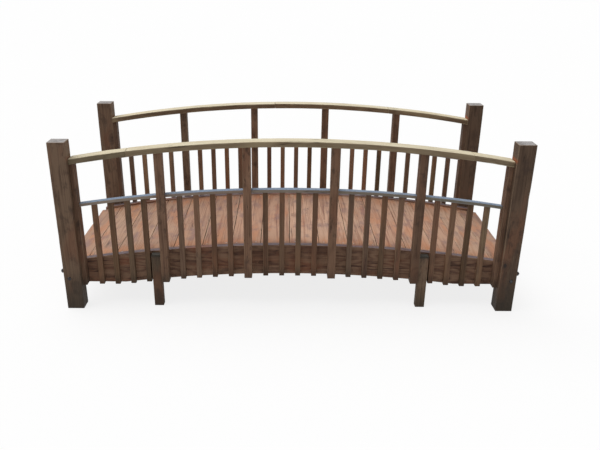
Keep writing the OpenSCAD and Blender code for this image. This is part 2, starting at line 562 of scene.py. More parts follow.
class Graph:
    """A node tree, written as plain calls."""

    def __init__(self, owner: Material | bpy.types.World) -> None:
        """Start with an empty tree.

        Args:
            owner: Material or world that the tree belongs to.
        """
        owner.use_nodes = True
        self.tree = owner.node_tree
        self.tree.nodes.clear()

    def make(self, kind: str, inputs: dict | None = None, **options: object) -> bpy.types.Node:
        """Add a node.

        Args:
            kind: Node type without its ShaderNode prefix.
            inputs: Values or sockets by input name or number.
            **options: Properties of the node.

        Returns:
            The node.
        """
        node = self.tree.nodes.new("ShaderNode" + kind)
        for key, value in options.items():
            setattr(node, key, value)
        for key, value in (inputs or {}).items():
            if isinstance(value, Socket):
                self.tree.links.new(value, node.inputs[key])
            else:
                node.inputs[key].default_value = value
        return node

    def math(self, operation: str, a: Value, b: Value = 0.0) -> Socket:
        """Calculate with one or two numbers and return the result's socket."""
        return self.make("Math", {0: a, 1: b}, operation=operation).outputs[0]

    def times(self, a: Value, *others: Value) -> Socket:
        """Multiply numbers and return the result's socket."""
        for b in others:
            a = self.math("MULTIPLY", a, b)
        return a

    def plus(self, a: Value, *others: Value) -> Socket:
        """Add numbers and return the result's socket."""
        for b in others:
            a = self.math("ADD", a, b)
        return a

    def vector(self, operation: str, a: Value, b: Value) -> Socket:
        """Calculate with two vectors and return the result's socket."""
        return self.make("VectorMath", {0: a, 1: b}, operation=operation).outputs[0]

    def scaled(self, vector: Value, factors: Triple) -> Socket:
        """Multiply a vector by three factors and return the result's socket."""
        return self.vector("MULTIPLY", vector, factors)

    def split(self, vector: Value) -> list[Socket]:
        """Give the three parts of a vector."""
        return list(self.make("SeparateXYZ", {0: vector}).outputs)

    def attribute(self, name: str) -> bpy.types.Node:
        """Read a named surface value."""
        return self.make("Attribute", attribute_name=name)

    def noise(self, vector: Value, detail: float = 2.0, rough: float = 0.5) -> Socket:
        """Noise of about one waver to a unit, as a number around 0.5."""
        inputs = {"Vector": vector, "Scale": 1.0, "Detail": detail, "Roughness": rough}
        return self.make("TexNoise", inputs).outputs[0]

    def step(self, value: Value, low: float, high: float, top: float = 1.0) -> Socket:
        """Smooth step of a number from 0 at low to top at high."""
        inputs = {"Value": value, "From Min": low, "From Max": high, "To Max": top}
        return self.make("MapRange", inputs, interpolation_type="SMOOTHSTEP").outputs[0]

    def spread(self, value: Value, low: float, high: float) -> Socket:
        """Spread a number of 0 to 1 over the range low to high."""
        inputs = {"Value": value, "To Min": low, "To Max": high}
        return self.make("MapRange", inputs).outputs[0]

    def ramp(self, value: Value, *stops: tuple[float, Rgb]) -> Socket:
        """Colour along a ramp.

        Args:
            value: Place on the ramp.
            *stops: Places with their sRGB colours.

        Returns:
            The colour's socket.
        """
        node = self.make("ValToRGB", {0: value})
        while len(node.color_ramp.elements) < len(stops):
            node.color_ramp.elements.new(0.5)
        for element, (place, colour) in zip(node.color_ramp.elements, stops):
            element.position = place
            element.color = linear(colour)
        return node.outputs[0]

    def blend(self, share: Value, a: Value, b: Value | Rgb, kind: str = "MIX") -> Socket:
        """Blend two colours.

        Args:
            share: Share of the second colour.
            a: First colour.
            b: Second colour, a socket or sRGB.
            kind: Way of blending.

        Returns:
            The colour's socket.
        """
        second = b if isinstance(b, Socket) else linear(b)
        inputs = {0: share, 6: a, 7: second}
        return self.make("Mix", inputs, data_type="RGBA", blend_type=kind).outputs[2]

    def finish(self, colour: Value, rough: Value, height: Value, depth: float, **others: Value) -> None:
        """Close the tree with its surface.

        Args:
            colour: Colour of the surface.
            rough: Roughness of the surface.
            height: Height of its relief, from 0 to 1.
            depth: Depth of that relief in metres.
            **others: Values of other surface sockets, by name with _ for spaces.
        """
        bump = self.make("Bump", {"Strength": 1.0, "Distance": depth, "Height": height})
        inputs = {"Base Color": colour, "Roughness": rough, "Normal": bump.outputs[0]}
        for key, value in others.items():
            inputs[key.replace("_", " ")] = value
        surface = self.make("BsdfPrincipled", inputs)
        self.make("OutputMaterial", {"Surface": surface.outputs[0]})


@dataclass(frozen=True)
class Finish:
    """A procedural finish."""

    name: str

    def paint(self, g: Graph) -> None:
        """Write the finish into its tree."""
        raise NotImplementedError

    def material(self) -> Material:
        """Build the finish.

        Returns:
            The procedural material.
        """
        material = bpy.data.materials.new(self.name)
        self.paint(Graph(material))
        return material


@dataclass(frozen=True)
class TimberFinish(Finish):
    """Stained and weathered softwood, with colours in sRGB.

    A scale says how often a pattern repeats to the metre along, across and through the timber.
    A share says how much of a pattern shows. A step says where it starts to show and where it
    shows in full.
    """

    pale: Rgb
    mid: Rgb
    dark: Rgb
    blotch: Rgb
    top: Rgb
    top_dark: Rgb
    worn: Rgb
    end: Rgb
    knot: Rgb
    smear: Rgb
    warm: Rgb
    red_tint: Rgb = (255, 214, 190)
    grey_tint: Rgb = (206, 216, 196)
    # Colour of the darkening mask: earth, and painted shade where the masks mark it
    dirt: Rgb = (38, 34, 32)
    rust: Rgb = (186, 92, 40)
    crack: Rgb = (24, 19, 16)
    contrast: float = 1.5
    mean_place: float = 0.67
    ramp_middle: float = 0.42
    shade_range: Span = (0.84, 1.16)
    red_range: Span = (0.0, 0.5)
    grey_range: Span = (0.0, 0.6)
    smear_share: float = 0.6
    warm_share: float = 0.5
    blotch_share: float = 0.6
    top_share: float = 0.6
    worn_share: float = 0.5
    check_share: float = 0.7
    late_share: float = 0.22
    fibre_share: float = 0.32
    streak_share: float = 0.58
    line_share: float = 0.40
    figure_share: float = 0.08
    end_share: float = 0.85
    crack_share: float = 0.85
    halo_share: float = 0.5
    core_share: float = 0.9
    blotch_step: Span = (0.5, 0.72)
    warm_step: Span = (0.5, 0.68)
    smear_step: Span = (0.5, 0.7)
    top_step: Span = (0.45, 0.9)
    worn_step: Span = (0.36, 0.62)
    rust_step: Span = (0.3, 0.6)
    soil_step: Span = (0.35, 0.75)
    soil_push: float = 0.4
    check_step: Span = (0.012, 0.003)
    check_patch: Span = (0.5, 0.6)
    sway_scale: Triple = (1.3, 7.0, 7.0)
    sway: Triple = (0.0, 0.022, 0.022)
    fibre_scale: Triple = (5.0, 420.0, 420.0)
    streak_scale: Triple = (1.1, 34.0, 34.0)
    line_scale: Triple = (3.4, 95.0, 95.0)
    cloud_scale: Triple = (2.6, 6.5, 6.5)
    glow_scale: Triple = (3.2, 11.0, 11.0)
    check_scale: Triple = (1.7, 48.0, 48.0)
    smear_scale: Triple = (6.0, 26.0, 26.0)
    smear_rough: float = 0.65
    ring_pitch: float = 0.006
    ring_push: float = 14.0
    late_power: float = 2.2
    figure_scale: Triple = (2.0, 14.0, 14.0)
    figure_bands: float = 5.0
    figure_push: float = 1.6
    figure_power: float = 1.6
    knot_cells: Triple = (2.4, 7.0, 2.0)
    knot_stretch: Triple = (0.75, 1.0, 0.25)
    knot_share: float = 0.5
    knot_size: float = 0.013
    knot_least: float = 0.0003
    core_step: Span = (1.1, 0.75)
    halo_step: Span = (3.6, 0.8)
    roughness: float = 0.72
    rough_spread: float = 0.22
    core_gloss: float = 0.12
    specular: float = 0.28
    relief: float = 0.0007
    fibre_relief: float = 0.5
    late_relief: float = 0.3
    check_relief: float = 0.9
    core_relief: float = 0.25

    def paint(self, g: Graph) -> None:
        """Write the finish into its tree."""
        grain = g.attribute("grain").outputs["Vector"]
        shade, warmth, greyness = g.split(g.attribute("tone").outputs["Vector"])
        wear = g.attribute("wear")
        edge, end, dirt = g.split(wear.outputs["Color"])
        rust = wear.outputs["Alpha"]
        side = g.math("SUBTRACT", 1.0, end)

        core, halo = self.knots(g, grain)
        sway = g.make("TexNoise", {"Vector": g.scaled(grain, self.sway_scale), "Scale": 1.0})
        sway = g.vector("SUBTRACT", sway.outputs["Color"], (0.5, 0.5, 0.5))
        bent = g.vector("ADD", grain, g.scaled(sway, self.sway))
        late = self.rings(g, bent, halo)
        fibre = g.noise(g.scaled(grain, self.fibre_scale), detail=3.0, rough=0.6)
        streak = g.noise(g.scaled(bent, self.streak_scale), detail=3.0, rough=0.6)
        line = g.noise(g.scaled(bent, self.line_scale), detail=2.0, rough=0.6)
        cloud = g.noise(g.scaled(grain, self.cloud_scale), detail=4.0, rough=0.6)
        patch = g.noise(g.scaled(bent, self.smear_scale), detail=4.0, rough=self.smear_rough)
        glow = g.noise(g.scaled(bent, self.glow_scale), detail=3.0, rough=0.55)
        check = self.checks(g, grain, cloud)
        figure = self.figure(g, bent, halo)

        place = g.plus(
            g.times(late, self.late_share), g.times(streak, self.streak_share),
            g.times(fibre, self.fibre_share), g.times(figure, self.figure_share),
            g.times(line, self.line_share),
        )
        mean = (self.mean_place + self.line_share / 2) * self.contrast
        place = g.plus(g.times(place, self.contrast), self.ramp_middle - mean)
        colour = g.ramp(place, (0.08, self.pale), (0.45, self.mid), (0.9, self.dark))
        colour = g.blend(g.step(cloud, *self.blotch_step, self.blotch_share), colour, self.blotch)
        colour = g.blend(g.spread(warmth, *self.red_range), colour, self.red_tint, "MULTIPLY")
        colour = g.blend(g.spread(greyness, *self.grey_range), colour, self.grey_tint, "MULTIPLY")
        level = g.spread(shade, *self.shade_range)
        colour = g.make("VectorMath", {0: colour, "Scale": level}, operation="SCALE").outputs[0]

        # Up-facing faces take the top colours: weathering on most timbers; on the top rail partly a painted
        # highlight, on the mid rail partly a painted sky reflection, on the beams' tops partly painted shade
        # with a sky tint
        up = g.split(g.make("NewGeometry").outputs["Normal"])[2]
        up = g.step(up, *self.top_step, self.top_share)
        top_weathering_and_light = g.ramp(place, (0.15, self.top), (0.85, self.top_dark))
        colour = g.blend(g.times(up, side), colour, top_weathering_and_light)
        end_grain = g.ramp(place, (0.1, self.end), (0.9, self.dark))
        colour = g.blend(g.times(end, self.end_share), colour, end_grain)
        warm = g.times(side, g.step(glow, *self.warm_step, self.warm_share))
        colour = g.blend(warm, colour, self.warm)
        smear = g.times(side, g.step(patch, *self.smear_step, self.smear_share))
        colour = g.blend(smear, colour, self.smear)
        colour = g.blend(g.times(halo, self.halo_share), colour, self.dark)
        colour = g.blend(g.times(core, self.core_share), colour, self.knot)
        rub = g.times(edge, g.step(cloud, *self.worn_step), self.worn_share)
        colour = g.blend(rub, colour, self.worn)
        colour = g.blend(g.times(rust, g.step(streak, *self.rust_step)), colour, self.rust)
        # Darkening mask from the wear values: earth on the feet, and painted shade at the plank ends along
        # the beams and on the support legs' flat tops
        soil = g.times(dirt, g.step(g.plus(cloud, g.times(dirt, self.soil_push)), *self.soil_step))
        colour = g.blend(soil, colour, self.dirt)
        colour = g.blend(g.times(check, self.crack_share), colour, self.crack)

        rough = g.plus(g.times(fibre, self.rough_spread), self.roughness - self.rough_spread / 2)
        rough = g.math("SUBTRACT", rough, g.times(core, self.core_gloss))
        height = g.plus(g.times(fibre, self.fibre_relief), g.times(late, self.late_relief))
        height = g.math("SUBTRACT", height, g.times(check, self.check_relief))
        height = g.plus(height, g.times(core, self.core_relief))
        g.finish(colour, rough, height, self.relief, Specular_IOR_Level=self.specular)

    def knots(self, g: Graph, grain: Socket) -> tuple[Socket, Socket]:
        """Scatter round knots.

        Args:
            g: The material's tree.
            grain: Place in the timber.

        Returns:
            The knots' cores and the disturbed wood around them.
        """
        cells = g.scaled(grain, self.knot_cells)
        scatter = g.make("TexVoronoi", {"Vector": cells, "Scale": 1.0}).outputs
        away = g.vector("SUBTRACT", cells, scatter["Position"])
        away = g.scaled(away, tuple(1 / c for c in self.knot_cells))
        away = g.scaled(away, self.knot_stretch)
        off = g.make("VectorMath", {0: away}, operation="LENGTH").outputs[1]
        pick = g.split(scatter["Color"])[0]
        sizes = {"From Min": 1 - self.knot_share, "To Min": self.knot_least, "To Max": self.knot_size}
        size = g.make("MapRange", {"Value": pick, **sizes}).outputs[0]
        ratio = g.math("DIVIDE", off, size)
        return g.step(ratio, *self.core_step), g.step(ratio, *self.halo_step)

    def rings(self, g: Graph, bent: Socket, halo: Socket) -> Socket:
        """Draw the yearly rings, pushed aside by the knots.

        Args:
            g: The material's tree.
            bent: Swaying place in the timber.
            halo: Disturbed wood around the knots.

        Returns:
            Late wood, from 0 to 1.
        """
        inputs = {
            "Vector": bent, "Scale": RING_TEXTURE_PITCH / self.ring_pitch, "Distortion": 1.2,
            "Detail": 2.0, "Detail Scale": 0.4, "Phase Offset": g.times(halo, self.ring_push),
        }
        wave = g.make("TexWave", inputs, wave_type="RINGS", rings_direction="X", wave_profile="SAW")
        return g.math("POWER", wave.outputs["Fac"], self.late_power)

    def figure(self, g: Graph, bent: Socket, halo: Socket) -> Socket:
        """Draw the curved figure of a flat-sawn face as bands along a slow noise.

        Args:
            g: The material's tree.
            bent: Swaying place in the timber.
            halo: Disturbed wood around the knots.

        Returns:
            Dark bands, from 0 to 1.
        """
        slow = g.noise(g.scaled(bent, self.figure_scale), detail=1.5, rough=0.45)
        turn = g.plus(g.times(slow, self.figure_bands), g.times(halo, self.figure_push))
        wave = g.math("SINE", g.times(turn, 2 * math.pi))
        return g.math("POWER", g.plus(g.times(wave, 0.5), 0.5), self.figure_power)

    def checks(self, g: Graph, grain: Socket, cloud: Socket) -> Socket:
        """Open fine drying checks along the grain.

        Args:
            g: The material's tree.
            grain: Place in the timber.
            cloud: Slow noise that keeps the checks in patches.

        Returns:
            The checks, from 0 to 1.
        """
        line = g.noise(g.scaled(grain, self.check_scale), detail=1.0)
        line = g.math("ABSOLUTE", g.math("SUBTRACT", line, 0.5))
        return g.times(g.step(line, *self.check_step), g.step(cloud, *self.check_patch), self.check_share)


@dataclass(frozen=True)
class SteelFinish(Finish):
    """Dull plated steel that has browned a little, with colours in sRGB."""

    plate: Rgb
    tarnish: Rgb
    rust: Rgb
    rust_share: float
    roughness: float
    rough_spread: float = 0.1
    rust_rough: float = 0.3
    rust_step: Span = (0.66, 0.8)
    metal_range: Span = (0.85, 0.15)
    cloud_scale: Triple = (140.0, 140.0, 140.0)
    speck_scale: Triple = (900.0, 900.0, 900.0)
    relief: float = 0.0002

    def paint(self, g: Graph) -> None:
        """Write the finish into its tree."""
        at = g.make("TexCoord").outputs["Object"]
        cloud = g.noise(g.scaled(at, self.cloud_scale), detail=4.0, rough=0.6)
        speck = g.noise(g.scaled(at, self.speck_scale), detail=3.0, rough=0.6)
        colour = g.ramp(cloud, (0.3, self.plate), (0.7, self.tarnish))
        rusty = g.step(g.plus(cloud, g.times(speck, 0.4)), *self.rust_step, self.rust_share)
        colour = g.blend(rusty, colour, self.rust)
        plain = g.spread(speck, self.roughness - self.rough_spread, self.roughness + self.rough_spread)
        rough = g.plus(g.times(rusty, self.rust_rough), plain)
        height = g.plus(g.times(speck, 0.6), g.times(rusty, 0.4))
        g.finish(colour, rough, height, self.relief, Metallic=g.spread(rusty, *self.metal_range))


@dataclass(frozen=True)
class EarthAndShadeFinish(Finish):
    """Damp earth and leaf crumbs, dark partly as painted shade in the plank gaps, with colours in sRGB."""

    name: str = "gap_soil"
    dark: Rgb = (40, 30, 25)
    mid: Rgb = (66, 50, 40)
    pale: Rgb = (96, 76, 60)
    lump_scale: Triple = (160.0, 160.0, 160.0)
    crumb_scale: Triple = (900.0, 900.0, 900.0)
    rough_range: Span = (0.85, 1.0)
    specular: float = 0.15
    relief: float = 0.0012

    def paint(self, g: Graph) -> None:
        """Write the finish into its tree."""
        at = g.make("TexCoord").outputs["Object"]
        lumps = g.noise(g.scaled(at, self.lump_scale), detail=4.0, rough=0.65)
        crumbs = g.noise(g.scaled(at, self.crumb_scale), detail=2.0, rough=0.6)
        place = g.plus(g.times(lumps, 0.7), g.times(crumbs, 0.3))
        colour = g.ramp(place, (0.35, self.dark), (0.52, self.mid), (0.72, self.pale))
        rough = g.spread(crumbs, *self.rough_range)
        g.finish(colour, rough, place, self.relief, Specular_IOR_Level=self.specular)


POST_FINISH = TimberFinish(
    name="post_brown",
    pale=(150, 126, 106), mid=(122, 100, 83), dark=(74, 58, 49),
    blotch=(118, 94, 78), top=(170, 168, 168), top_dark=(124, 120, 122),
    worn=(164, 140, 116), end=(170, 168, 168), knot=(40, 31, 28),
    # Its darkening colour also paints the shade on the support legs' flat tops
    smear=(72, 56, 48), warm=(142, 98, 74), dirt=(60, 56, 49),
    knot_cells=(3.0, 8.0, 3.0), knot_size=0.019, ring_pitch=0.0075,
    streak_share=0.46, figure_share=0.17, figure_scale=(3.2, 9.0, 9.0), shade_range=(0.50, 1.20),
    smear_scale=(13.0, 22.0, 22.0), smear_share=0.7,
)
# The purple-grey top colour is partly weathering, partly painted shade and sky reflection on the thin top
# face
BEAM_FINISH = TimberFinish(
    name="beam_brown",
    pale=(174, 139, 117), mid=(147, 112, 94), dark=(80, 58, 49),
    blotch=(146, 98, 76), top=(116, 104, 110), top_dark=(86, 76, 82),
    worn=(170, 140, 114), end=(110, 90, 76), knot=(40, 31, 29),
    smear=(74, 54, 46), warm=(152, 96, 70), contrast=1.9,
    top_share=0.9, knot_cells=(2.6, 9.0, 1.0), knot_size=0.021, warm_share=0.6,
    figure_share=0.24, figure_scale=(3.0, 15.0, 15.0), figure_bands=7.0, smear_scale=(12.0, 40.0, 40.0),
)
DECK_FINISH = TimberFinish(
    name="deck_tan",
    pale=(206, 170, 147), mid=(182, 139, 117), dark=(120, 84, 72),
    blotch=(146, 116, 110), top=(200, 164, 138), top_dark=(140, 106, 90),
    worn=(208, 182, 156), end=(120, 92, 74), knot=(84, 58, 50),
    smear=(126, 100, 100), warm=(192, 128, 90), contrast=2.0,
    # Its darkening colour also paints the shade at the plank ends along the beams
    dirt=(70, 52, 44), rust=(198, 122, 66),
    top_share=0.35, blotch_share=0.75, warm_share=0.5, smear_share=0.55,
    knot_cells=(3.4, 7.0, 1.0), knot_size=0.014, shade_range=(0.58, 1.03),
    figure_share=0.10, figure_scale=(1.6, 12.0, 12.0), smear_scale=(9.0, 15.0, 15.0), line_share=0.75,
    smear_rough=0.55,
)
# The cream top colour is partly sun-bleaching, partly a painted highlight from the light above
RAIL_FINISH = TimberFinish(
    name="rail_pale_top",
    pale=(176, 158, 132), mid=(152, 134, 110), dark=(98, 80, 64),
    blotch=(132, 114, 88), top=(226, 216, 188), top_dark=(190, 174, 142),
    worn=(214, 198, 164), end=(150, 130, 106), knot=(120, 88, 62),
    smear=(168, 150, 120), warm=(206, 186, 146), smear_share=0.35, warm_share=0.3,
    top_share=1.0, worn_share=0.5, knot_cells=(1.8, 8.0, 2.0), knot_size=0.010,
    shade_range=(0.35, 1.16),
)
# The blue-grey top colour is partly grey weathering, partly a painted sky reflection
MID_RAIL_FINISH = TimberFinish(
    name="mid_rail_grey",
    pale=(172, 162, 152), mid=(146, 134, 124), dark=(100, 88, 80),
    blotch=(128, 114, 104), top=(150, 168, 191), top_dark=(108, 124, 146),
    worn=(176, 182, 188), end=(130, 116, 104), knot=(84, 70, 62),
    smear=(112, 118, 128), warm=(150, 140, 130), smear_share=0.4, warm_share=0.2,
    top_share=1.0, knot_size=0.006,
)
BALUSTER_FINISH = TimberFinish(
    name="baluster_brown",
    pale=(160, 133, 111), mid=(134, 107, 91), dark=(80, 61, 54),
    blotch=(128, 90, 75), top=(140, 128, 116), top_dark=(100, 90, 82),
    worn=(168, 142, 114), end=(96, 78, 66), knot=(52, 40, 35),
    smear=(84, 68, 56), warm=(148, 104, 78), red_tint=(255, 190, 160), grey_tint=(186, 206, 170),
    shade_range=(0.52, 1.26), knot_cells=(2.0, 12.0, 6.0), knot_size=0.008,
)
STEEL_FINISH = SteelFinish(
    name="plated_steel",
    plate=(80, 82, 86), tarnish=(54, 53, 53), rust=(62, 46, 36),
    rust_share=0.8, roughness=0.55,
)
SCREW_FINISH = SteelFinish(
    name="bright_screw",
    plate=(206, 206, 204), tarnish=(164, 162, 158), rust=(112, 78, 54),
    rust_share=0.5, roughness=0.34,
)


# Shade, warmth and greyness of the rail posts on each side and of the planks, from left to right
FRONT_TONES: tuple[Tone, ...] = ((0.64, 0.9, 0.0), (0.92, 1.0, 0.0), (0.58, 1.0, 0.0), (0.20, 1.0, 0.0))
BACK_TONES: tuple[Tone, ...] = ((0.50, 0.2, 0.5), (0.72, 0.6, 0.1), (0.44, 0.9, 0.0), (0.36, 0.8, 0.1))
PLANK_TONES: tuple[Tone, ...] = (
    (0.00, 0.9, 0.2), (0.45, 0.3, 0.5), (0.30, 0.4, 0.4), (0.22, 0.6, 0.3),
    (0.14, 0.9, 0.2), (0.16, 1.0, 0.2), (0.32, 1.0, 0.1), (0.34, 0.9, 0.1),
    (0.95, 0.4, 0.2), (0.90, 0.3, 0.3), (0.80, 0.4, 0.3), (0.45, 0.9, 0.1),
    (0.66, 0.4, 0.3), (0.50, 0.7, 0.2), (0.70, 0.2, 0.5), (0.10, 0.8, 0.3),
)


def height_at(curve: Curve, x: float) -> float:
    """Read the height of a curve at one place along the bridge."""
    return float(curve(np.array([x]))[0])


def flat_cut(height: float) -> Curve:
    """Give the curve of a flat cut at a height."""
    return lambda x: np.full_like(x, height)


def upright(x: float, y: float, z0: float, length: float, top: Curve) -> Placer:
    """Stand a timber up, with its head cut to a curve.

    Args:
        x: Middle along the bridge.
        y: Middle across the bridge.
        z0: Height of its foot.
        length: Its nominal length.
        top: Height of the cut at places along the bridge.

    Returns:
        The way its points are placed.
    """

    def place(s: Array, u: Array, v: Array) -> Array:
        """Place points with s up, u along the bridge and v across it."""
        px = x + u
        return np.stack((px, y + v, z0 + s / length * (top(px) - z0)), 1)

    return place


def along_arc(x0: float, y: float, crown: float, radius: float, depth: float) -> Placer:
    """Bend a timber along an arch with upright end cuts.

    Args:
        x0: Its left end.
        y: Its middle across the bridge.
        crown: Height of the upper face at mid-span.
        radius: Radius of the upper face.
        depth: Its thickness.

    Returns:
        The way its points are placed.
    """

    def place(s: Array, u: Array, v: Array) -> Array:
        """Place points with s along the bridge, u across it and v outward."""
        px = x0 + s
        reach = radius - depth / 2 + v
        return np.stack((px, y + u, crown - radius + np.sqrt(reach**2 - px * px)), 1)

    return place


def one_timber(
    name: str, timber: Timber, place: Placer, material: Material, slot: Slot, **looks: object
) -> None:
    """Make a piece of a single timber.

    Args:
        name: Name of the piece and of the solid that it stands for.
        timber: The timber to cut.
        place: Takes its points to the frame.
        material: Its finish.
        slot: Material slot that the finish belongs to.
        **looks: Pith, tone, dirt, rust and sawn, as Draft.timber takes them.
    """
    draft = Draft(name)
    draft.timber(timber, name, place, **looks)
    mount(draft.piece(material), slot, name)


@dataclass
class CornerPosts:
    """The four square corner posts."""

    finish: Material
    arris: float = 2.6 * MM
    left_tone: Tone = (0.53, 0.40, 0.30)
    right_tone: Tone = (0.06, 0.50, 0.20)
    back_shade: float = 0.12
    bolt_z: float = 0.175
    bolt_inset: float = 0.028
    nut_z: float = 0.213
    nut_inset: float = 0.020
    splash_z: float = 0.34
    splash_share: float = 0.8
    bare_z: float = 0.814
    bare_h: float = 0.005
    bare_reach: Span = (0.004, 0.012)
    left_bare_share: float = 0.25

    def build(self) -> None:
        """Build and dress the posts."""
        for side, end in product(Side, End):
            self.post(side, end)

    def post(self, side: Side, end: End) -> None:
        """Build one post.

        Args:
            side: Its side of the bridge.
            end: Its end of the walk.
        """
        size, height = LAYOUT.post_s, LAYOUT.post_h
        x = end.sign * (LAYOUT.half_l - size / 2)
        y = side.sign * (LAYOUT.half_w - size / 2)
        inner = end.sign * LAYOUT.post_inner_x

        def dirt(at: Array) -> Array:
            """Splashed earth at the foot."""
            return self.splash_share * (1 - smooth(at[:, 2], 0.0, self.splash_z))

        def rust(at: Array) -> Array:
            """Bare orange line above the top rail, on the inner face."""
            near = 1 - smooth(np.abs(at[:, 0] - inner), *self.bare_reach)
            line = np.exp(-(((at[:, 2] - self.bare_z) / self.bare_h) ** 2))
            return near * line * (1.0 if end is End.RIGHT else self.left_bare_share)

        timber = Timber(
            height, size, size, arris=self.arris, step=0.016, across=0.008,
            cap_rings=9, checks=5, dents=4,
        )
        shade, *rest = self.left_tone if end is End.LEFT else self.right_tone
        tone = (shade - (self.back_shade if side is Side.BACK else 0.0), *rest)
        one_timber(
            f"corner_post_{side.value}_{end.value}", timber, upright(x, y, 0.0, height, flat_cut(height)),
            self.finish, Slot.POST, pith=(0.014, 0.018), tone=tone, dirt=dirt, rust=rust,
        )


@dataclass
class Railing:
    """Uprights, rails and balusters of one side."""

    side: Side
    post: Material
    rail: Material
    mid: Material
    baluster: Material
    splices: Span
    post_tones: tuple[Tone, ...]
    stile_tone: Tone
    rail_tones: tuple[Tone, ...]
    stile_lift: float = 0.004
    post_drop: float = 0.002
    top_z: float = 0.906
    top_w: float = 0.080
    top_t: float = 0.028
    splice_gap: float = 0.4 * MM
    mid_z: float = 0.655
    mid_w: float = 0.038
    mid_t: float = 0.016
    baluster_s: float = 0.027
    baluster_drop: float = 0.002
    baluster_twist: float = 0.02
    balusters: int = 4
    soil_h: float = 0.09
    soil_share: float = 0.55

    @property
    def post_y(self) -> float:
        """Middle of the uprights and of the top rail across the bridge."""
        return self.side.sign * (LAYOUT.beam_face_y + LAYOUT.rail_post_d / 2)

    def build(self) -> None:
        """Build and dress the railing."""
        for end in End:
            x = end.sign * (LAYOUT.post_inner_x - LAYOUT.stile_w / 2)
            foot = LAYOUT.beam_seat_z + self.stile_lift
            name = f"rail_stile_{self.side.value}_{end.value}"
            self.rail_upright(name, x, LAYOUT.stile_w, foot, self.stile_tone)
        for k, tone in enumerate(self.post_tones, 1):
            x = LAYOUT.bay_x(k + 1) - LAYOUT.rail_post_w / 2
            foot = height_at(LAYOUT.beam_low, x) - self.post_drop
            name = f"rail_post_{self.side.value}_{k}"
            self.rail_upright(name, x, LAYOUT.rail_post_w, foot, tone)
        self.top_rail()
        self.mid_rail()
        for k in range(1, LAYOUT.bays + 1):
            self.baluster_bay(k)

    def under(self, crown: float, radius: float, depth: float) -> Curve:
        """Give the cut under an arched rail.

        Args:
            crown: Height of the rail's upper face at mid-span.
            radius: Radius of that face.
            depth: Thickness of the rail.

        Returns:
            The height at places along the bridge.
        """
        reach = radius - depth - LAYOUT.fit_gap
        return lambda x: crown - radius + np.sqrt(reach**2 - x * x)

    def foot_dirt(self, at: Array) -> Array:
        """Soil that gathers on the uprights' feet, on the beam."""
        return self.soil_share * (1 - smooth(at[:, 2] - LAYOUT.beam_low(at[:, 0]), 0.0, self.soil_h))

    def rail_upright(self, name: str, x: float, width: float, foot: float, tone: Tone) -> None:
        """Build a rail post or a stile.

        Args:
            name: Name of the piece and of the solid that it stands for.
            x: Its middle along the bridge.
            width: Its width along the bridge.
            foot: Height of its foot.
            tone: Its shade, warmth and greyness.
        """
        head = self.under(self.top_z, LAYOUT.rail_r, self.top_t)
        length = height_at(head, x) - foot
        timber = Timber(length, width, LAYOUT.rail_post_d, arris=1.8 * MM, step=0.024, across=0.012)
        one_timber(
            name, timber, upright(x, self.post_y, foot, length, head), self.post, Slot.POST,
            pith=(0.03, 0.045), tone=tone, dirt=self.foot_dirt,
        )

    def top_rail(self) -> None:
        """Build the top rail from three lengths that butt together."""
        name = f"top_rail_{self.side.value}"
        reach = LAYOUT.post_inner_x - LAYOUT.fit_gap
        draft = Draft(name)
        stops = (-reach, *self.splices, reach)
        for k, (x0, x1) in enumerate(zip(stops, stops[1:])):
            timber = Timber(
                x1 - x0 - self.splice_gap, self.top_w, self.top_t,
                arris=3.0 * MM, step=0.02, across=0.012, dents=4,
            )
            place = along_arc(x0, self.post_y, self.top_z, LAYOUT.rail_r, self.top_t)
            draft.timber(timber, f"{name}{k}", place, pith=(0.012, 0.05), tone=self.rail_tones[k])
        mount(draft.piece(self.rail), Slot.RAIL, name)

    def mid_rail(self) -> None:
        """Build the mid rail, one length in each bay."""
        name = f"mid_rail_{self.side.value}"
        y = self.side.sign * (LAYOUT.beam_face_y + self.mid_w / 2)
        length = LAYOUT.bay_clear - 2 * LAYOUT.fit_gap
        draft = Draft(name)
        for k in range(1, LAYOUT.bays + 1):
            x0 = LAYOUT.bay_x(k) + LAYOUT.fit_gap
            timber = Timber(length, self.mid_w, self.mid_t, arris=2.0 * MM, step=0.02, across=0.010)
            place = along_arc(x0, y, self.mid_z, LAYOUT.arch_r, self.mid_t)
            draft.timber(timber, f"{name}{k}", place, pith=(0.02, 0.04))
        mount(draft.piece(self.mid), Slot.MID_RAIL, name)

    def baluster_bay(self, k: int) -> None:
        """Build the balusters of bay k, counted from 1 at the left end."""
        name = f"balusters_{self.side.value}_{k}"
        size = self.baluster_s
        gap = (LAYOUT.bay_clear - self.balusters * size) / (self.balusters + 1)
        y = self.side.sign * (LAYOUT.beam_face_y + size / 2)
        head = self.under(self.mid_z, LAYOUT.arch_r, self.mid_t)
        draft = Draft(name)
        for j in range(1, self.balusters + 1):
            x = LAYOUT.bay_x(k) + j * (gap + size) - size / 2
            foot = height_at(LAYOUT.beam_low, x) - self.baluster_drop
            length = height_at(head, x) - foot
            twist = chance(f"{name}{j} warp").uniform(-self.baluster_twist, self.baluster_twist)
            timber = Timber(
                length, size, size, arris=1.6 * MM, step=0.024, across=0.010, twist=twist, dents=3,
            )
            place = upright(x, y, foot, length, head)
            draft.timber(timber, f"{name}{j}", place, pith=(0.04, 0.05), dirt=self.foot_dirt)
        mount(draft.piece(self.baluster), Slot.BALUSTER, name)


